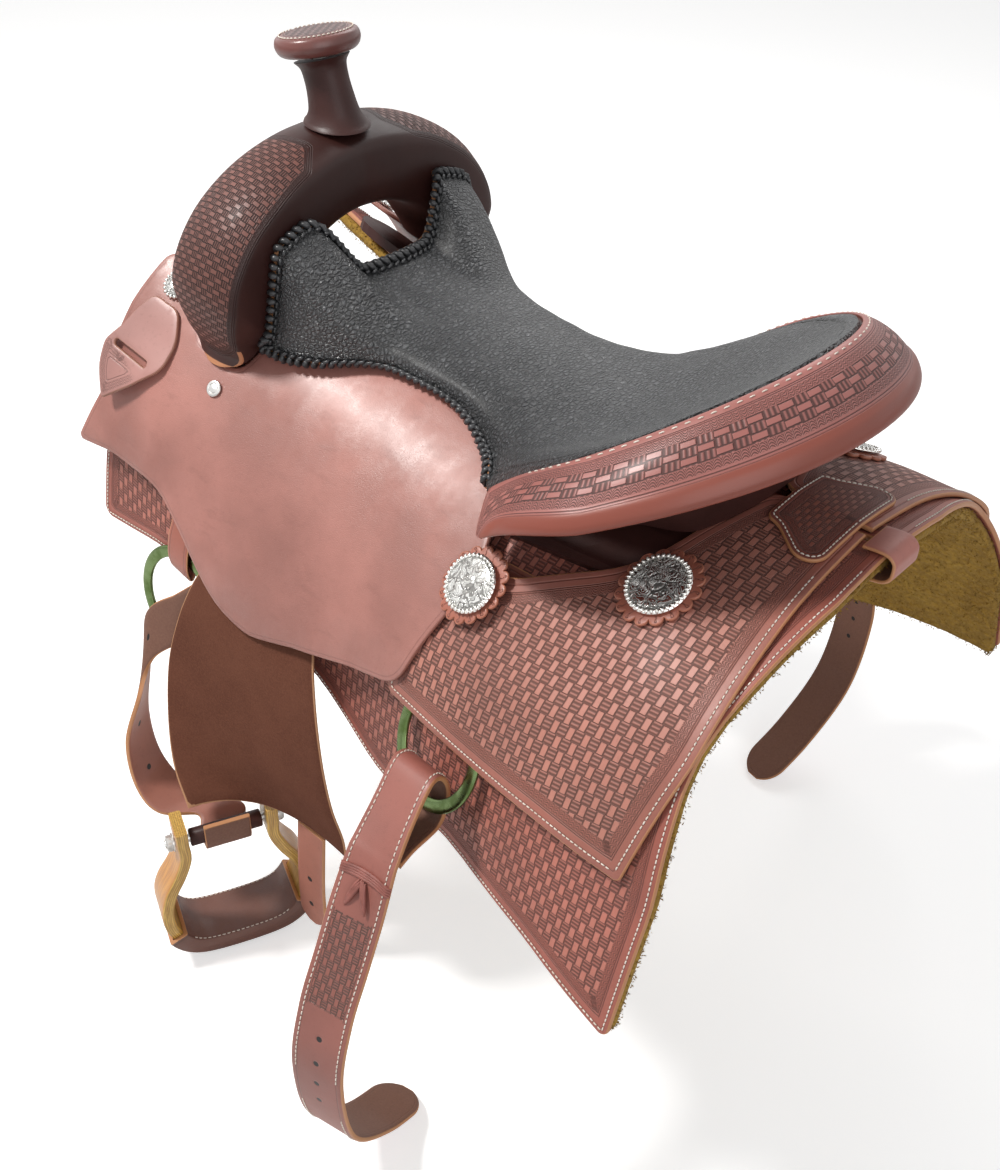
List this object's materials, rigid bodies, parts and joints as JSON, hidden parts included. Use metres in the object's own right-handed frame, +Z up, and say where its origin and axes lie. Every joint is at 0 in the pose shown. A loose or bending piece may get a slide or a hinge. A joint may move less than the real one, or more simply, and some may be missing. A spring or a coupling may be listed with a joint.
{
  "type": "reining saddle",
  "caption": "Western reining saddle with fork and horn, hard seat and cantle roll, tooled skirts over fleece, flank billets, rough-out fenders and wooden stirrups.",
  "frame": {"origin": "on the horse's spine line under the middle of the seat, 45 mm below the skirts' joined edge", "axes": "+X to the horse's head, +Y to its near (left) side, +Z up"},
  "size_m": [0.7359, 0.8256, 0.8471],
  "materials": {
    "russet_leather": "basketweave and plain vegetable-tanned leather, satin",
    "dark_leather": "dark oiled leather, satin",
    "rough_leather": "rough-out leather, matte",
    "black_leather": "black pebbled leather, satin",
    "fleece": "golden woolly fleece",
    "wood": "laminated yellow wood, varnished",
    "steel": "plated steel",
    "silver": "engraved bright silver plate",
    "ring_metal": "smooth plated ring, reflecting its green surroundings"
  },
  "bodies": {
    "saddle": {"cantle_back": "dark_leather", "cantle_board": "wood", "cantle_concho_L": "silver", "cantle_concho_R": "silver", "cantle_roll": "russet_leather", "cantle_rosette_L": "russet_leather", "cantle_rosette_R": "russet_leather", "ferrule_screw_L": "steel", "ferrule_screw_R": "steel", "fleece_L": "fleece", "fleece_R": "fleece", "fork": "wood", "front_concho_L": "silver", "front_concho_R": "silver", "front_rigging_L": "russet_leather", "front_rigging_R": "russet_leather", "ground_seat": "dark_leather", "horn_cap": "dark_leather", "horn_core": "steel", "horn_neck": "dark_leather", "latigo_keeper": "russet_leather", "rear_concho_L": "silver", "rear_concho_R": "silver", "rear_connector": "russet_leather", "rear_jockey_L": "russet_leather", "rear_jockey_R": "russet_leather", "rear_rigging_L": "russet_leather", "rear_rigging_R": "russet_leather", "rear_rosette_L": "russet_leather", "rear_rosette_R": "russet_leather", "seat_cover": "black_leather", "seat_jockey_L": "russet_leather", "seat_jockey_R": "russet_leather", "skirt_L": "russet_leather", "skirt_R": "russet_leather", "skirt_tie": "russet_leather", "swell_cover": "dark_leather", "tree_bar_L": "wood", "tree_bar_R": "wood"},
    "fender_L": {"fender_L": "rough_leather", "stirrup_leather_L": "russet_leather", "stirrup_strap_end_L": "russet_leather"},
    "stirrup_L": {"stirrup_bolt_L": "steel", "stirrup_bow_L": "wood", "stirrup_tread_L": "russet_leather"},
    "front_ring_L": {"front_ring_L": "ring_metal"},
    "rear_ring_L": {"rear_ring_L": "ring_metal"},
    "flank_billet_L": {"flank_billet_L": "russet_leather"},
    "fender_R": {"fender_R": "rough_leather", "stirrup_leather_R": "russet_leather", "stirrup_strap_end_R": "russet_leather"},
    "stirrup_R": {"stirrup_bolt_R": "steel", "stirrup_bow_R": "wood", "stirrup_tread_R": "russet_leather"},
    "front_ring_R": {"front_ring_R": "ring_metal"},
    "rear_ring_R": {"rear_ring_R": "ring_metal"},
    "flank_billet_R": {"flank_billet_R": "russet_leather"}
  },
  "joints": [
    {"name": "fender_swing_L", "type": "hinge", "parent": "saddle", "child": "fender_L", "pos_m": [0.089, 0.1378, -0.0003], "axis": [0, 0.9877, 0.1564], "range_deg": [-4, 9]},
    {"name": "stirrup_swing_L", "type": "hinge", "parent": "fender_L", "child": "stirrup_L", "pos_m": [0.092, 0.272, -0.418], "axis": [0.4067, 0.9135, 0], "range_deg": [-30, 6]},
    {"name": "front_ring_turn_L", "type": "hinge", "parent": "saddle", "child": "front_ring_L", "pos_m": [0.188, 0.22359, -0.20701], "axis": [-0.0509, 0.9798, 0.1933], "range_deg": [-20, 20]},
    {"name": "rear_ring_turn_L", "type": "hinge", "parent": "saddle", "child": "rear_ring_L", "pos_m": [-0.166, 0.22939, -0.14626], "axis": [0.2397, 0.8906, 0.3866], "range_deg": [-10, 10]},
    {"name": "billet_fold_L", "type": "hinge", "parent": "rear_ring_L", "child": "flank_billet_L", "pos_m": [-0.17112, 0.24955, -0.18952], "axis": [0.965, -0.1748, -0.1957], "range_deg": [0, 12]},
    {"name": "fender_swing_R", "type": "hinge", "parent": "saddle", "child": "fender_R", "pos_m": [0.089, -0.1378, -0.0003], "axis": [0, -0.9877, 0.1564], "range_deg": [-9, 4]},
    {"name": "stirrup_swing_R", "type": "hinge", "parent": "fender_R", "child": "stirrup_R", "pos_m": [0.092, -0.272, -0.418], "axis": [0.4067, -0.9135, 0], "range_deg": [-6, 30]},
    {"name": "front_ring_turn_R", "type": "hinge", "parent": "saddle", "child": "front_ring_R", "pos_m": [0.188, -0.22359, -0.20701], "axis": [-0.0509, -0.9798, 0.1933], "range_deg": [-20, 20]},
    {"name": "rear_ring_turn_R", "type": "hinge", "parent": "saddle", "child": "rear_ring_R", "pos_m": [-0.166, -0.22939, -0.14626], "axis": [0.2397, -0.8906, 0.3866], "range_deg": [-10, 10]},
    {"name": "billet_fold_R", "type": "hinge", "parent": "rear_ring_R", "child": "flank_billet_R", "pos_m": [-0.17112, -0.24955, -0.18952], "axis": [0.965, 0.1748, -0.1957], "range_deg": [-12, 0]}
  ]
}
